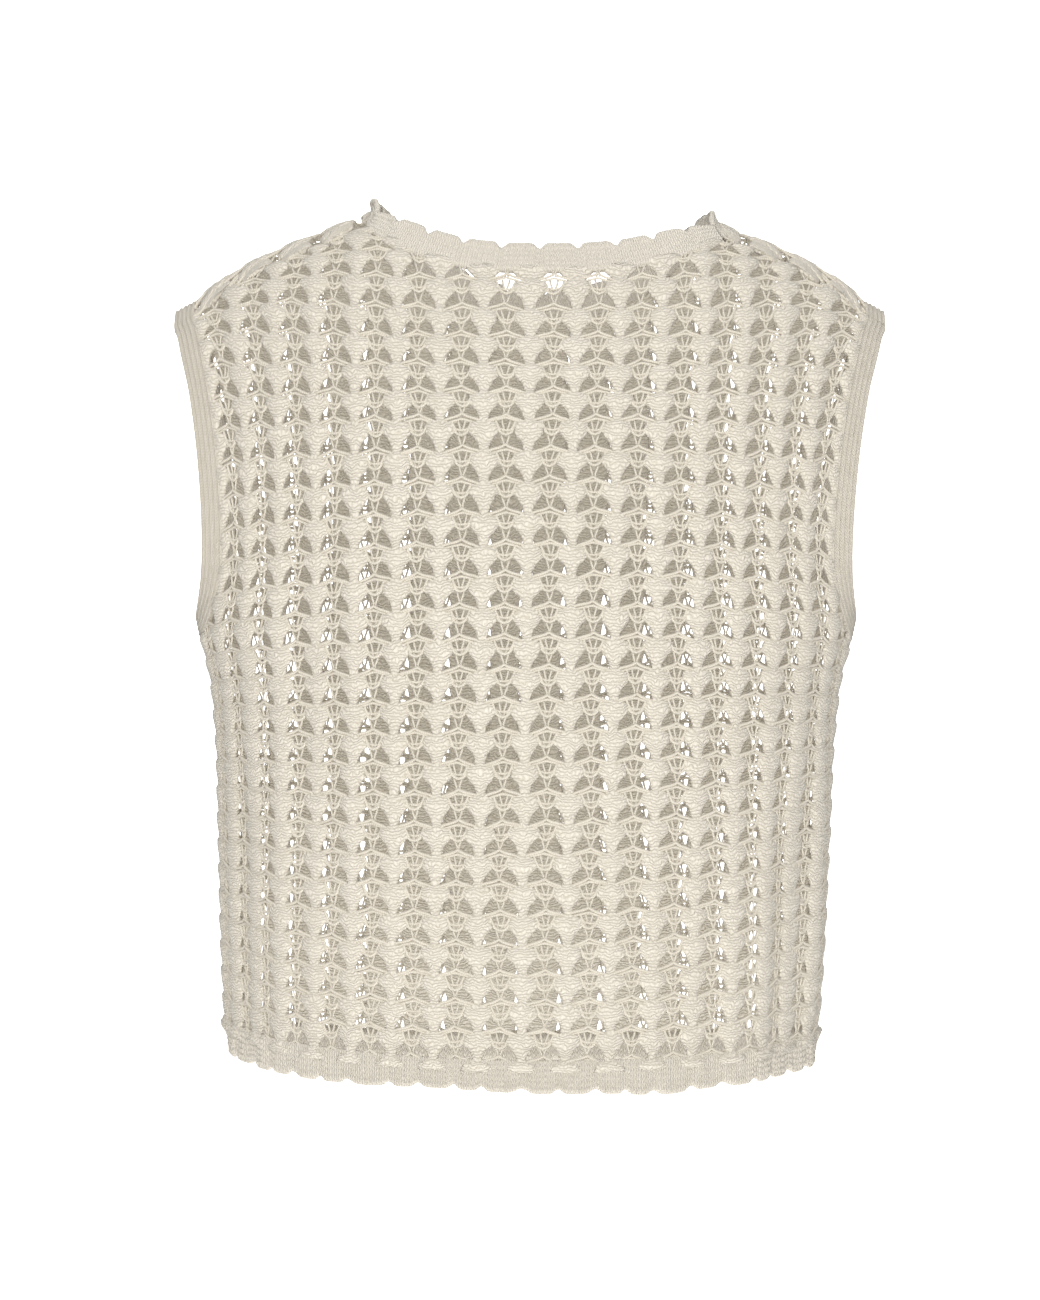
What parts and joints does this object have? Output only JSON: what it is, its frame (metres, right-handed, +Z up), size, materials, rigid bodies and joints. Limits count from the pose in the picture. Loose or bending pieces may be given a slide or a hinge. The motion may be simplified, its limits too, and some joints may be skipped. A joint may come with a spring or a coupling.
{
  "type": "sleeveless openwork knit pullover",
  "caption": "Cream cotton openwork knit pullover vest with scalloped neck and hem bands and plain armhole bands, held open as worn.",
  "frame": {"origin": "base of the neck, on the line of the shoulders where the wearer holds the garment up", "axes": "+Z up, -Y out of the garment's back, +Y out of its front, +X to the right of someone who looks at its back"},
  "size_m": [0.4033, 0.2497, 0.4913],
  "materials": {
    "openwork": "matte cotton openwork knit, cream",
    "band": "matte cotton plain knit band, cream"
  },
  "bodies": {
    "root": {"back_panel": "openwork", "front_panel": "openwork", "neckband": "band", "armhole_band_left": "band", "armhole_band_right": "band", "hem_band": "band"}
  },
  "joints": []
}
